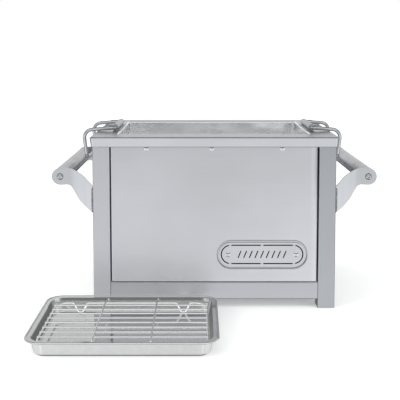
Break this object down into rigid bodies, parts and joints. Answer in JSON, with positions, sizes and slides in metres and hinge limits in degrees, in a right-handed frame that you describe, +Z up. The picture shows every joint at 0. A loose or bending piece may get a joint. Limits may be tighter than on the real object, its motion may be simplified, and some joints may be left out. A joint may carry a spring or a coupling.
{
  "type": "charcoal roasting box",
  "caption": "Stainless roasting box on square legs, with a lift-off charcoal tray on top, tube handles at its sides, wire bails, and a drip pan with a wire rack in front.",
  "frame": {"origin": "on the floor, at the centre of the footprint of the box with its handles and the drip pan in front of it", "axes": "+X to the right as seen from the front, along the box's long side; +Y to the back; +Z up"},
  "size_m": [0.6092, 0.58, 0.335],
  "materials": {
    "leg_tube": "satin-ground stainless square tube",
    "rail_tube": "satin-ground stainless square tube",
    "hidden_angle": "mill-finish stainless",
    "panel_sheet": "fine brushed stainless sheet",
    "floor_sheet": "cold-rolled stainless sheet",
    "rivet": "bright stainless blind rivet",
    "badge": "brushed stainless plate with plain slots",
    "bracket_plate": "satin stainless plate",
    "grip_tube": "satin stainless round tube",
    "screw": "stainless button-head screw",
    "tray_sheet": "fine brushed stainless sheet",
    "basin_sheet": "brushed stainless sheet",
    "sleeve": "rolled stainless sleeve",
    "bail_wire": "drawn stainless wire",
    "pan_sheet": "mirror-polished stainless",
    "rack_wire": "electropolished stainless wire"
  },
  "bodies": {
    "box": {"leg_front_left": "leg_tube", "leg_front_right": "leg_tube", "leg_rear_left": "leg_tube", "leg_rear_right": "leg_tube", "lower_rail_front": "rail_tube", "lower_rail_rear": "rail_tube", "lower_rail_left": "rail_tube", "lower_rail_right": "rail_tube", "upper_rail_front": "hidden_angle", "upper_rail_rear": "hidden_angle", "upper_rail_left": "hidden_angle", "upper_rail_right": "hidden_angle", "front_panel": "panel_sheet", "rear_panel": "panel_sheet", "left_panel": "panel_sheet", "right_panel": "panel_sheet", "floor_panel": "floor_sheet", "panel_rivets": "rivet", "side_rivets": "rivet", "badge_plate": "badge", "badge_rivets": "rivet", "bracket_left_front": "bracket_plate", "bracket_left_rear": "bracket_plate", "bracket_right_front": "bracket_plate", "bracket_right_rear": "bracket_plate", "grip_left": "grip_tube", "grip_right": "grip_tube", "grip_plugs_left": "hidden_angle", "grip_plugs_right": "hidden_angle", "grip_screws_left": "screw", "grip_screws_right": "screw"},
    "charcoal_tray": {"tray_rim": "tray_sheet", "tray_basin": "basin_sheet", "pivot_sleeve_left": "sleeve", "pivot_sleeve_right": "sleeve"},
    "left_bail": {"bail_left": "bail_wire"},
    "right_bail": {"bail_right": "bail_wire"},
    "pan": {"drip_pan": "pan_sheet"},
    "rack": {"rack_frame": "rack_wire", "rack_long_wires": "rack_wire", "rack_cross_wires": "rack_wire"}
  },
  "joints": [
    {"name": "tray_lift", "type": "slide", "parent": "box", "child": "charcoal_tray", "axis": [0, 0, 1], "range_m": [0, 0.1]},
    {"name": "left_bail_swing", "type": "hinge", "parent": "charcoal_tray", "child": "left_bail", "pos_m": [-0.1945, 0.1175, 0.3285], "axis": [0, 1, 0], "range_deg": [0, 185]},
    {"name": "right_bail_swing", "type": "hinge", "parent": "charcoal_tray", "child": "right_bail", "pos_m": [0.1945, 0.1175, 0.3285], "axis": [0, -1, 0], "range_deg": [0, 185]},
    {"name": "pan_lift", "type": "slide", "parent": "box", "child": "pan", "axis": [0, 0, 1], "range_m": [0, 0.08]},
    {"name": "rack_lift", "type": "slide", "parent": "pan", "child": "rack", "axis": [0, 0, 1], "range_m": [0, 0.06]}
  ]
}
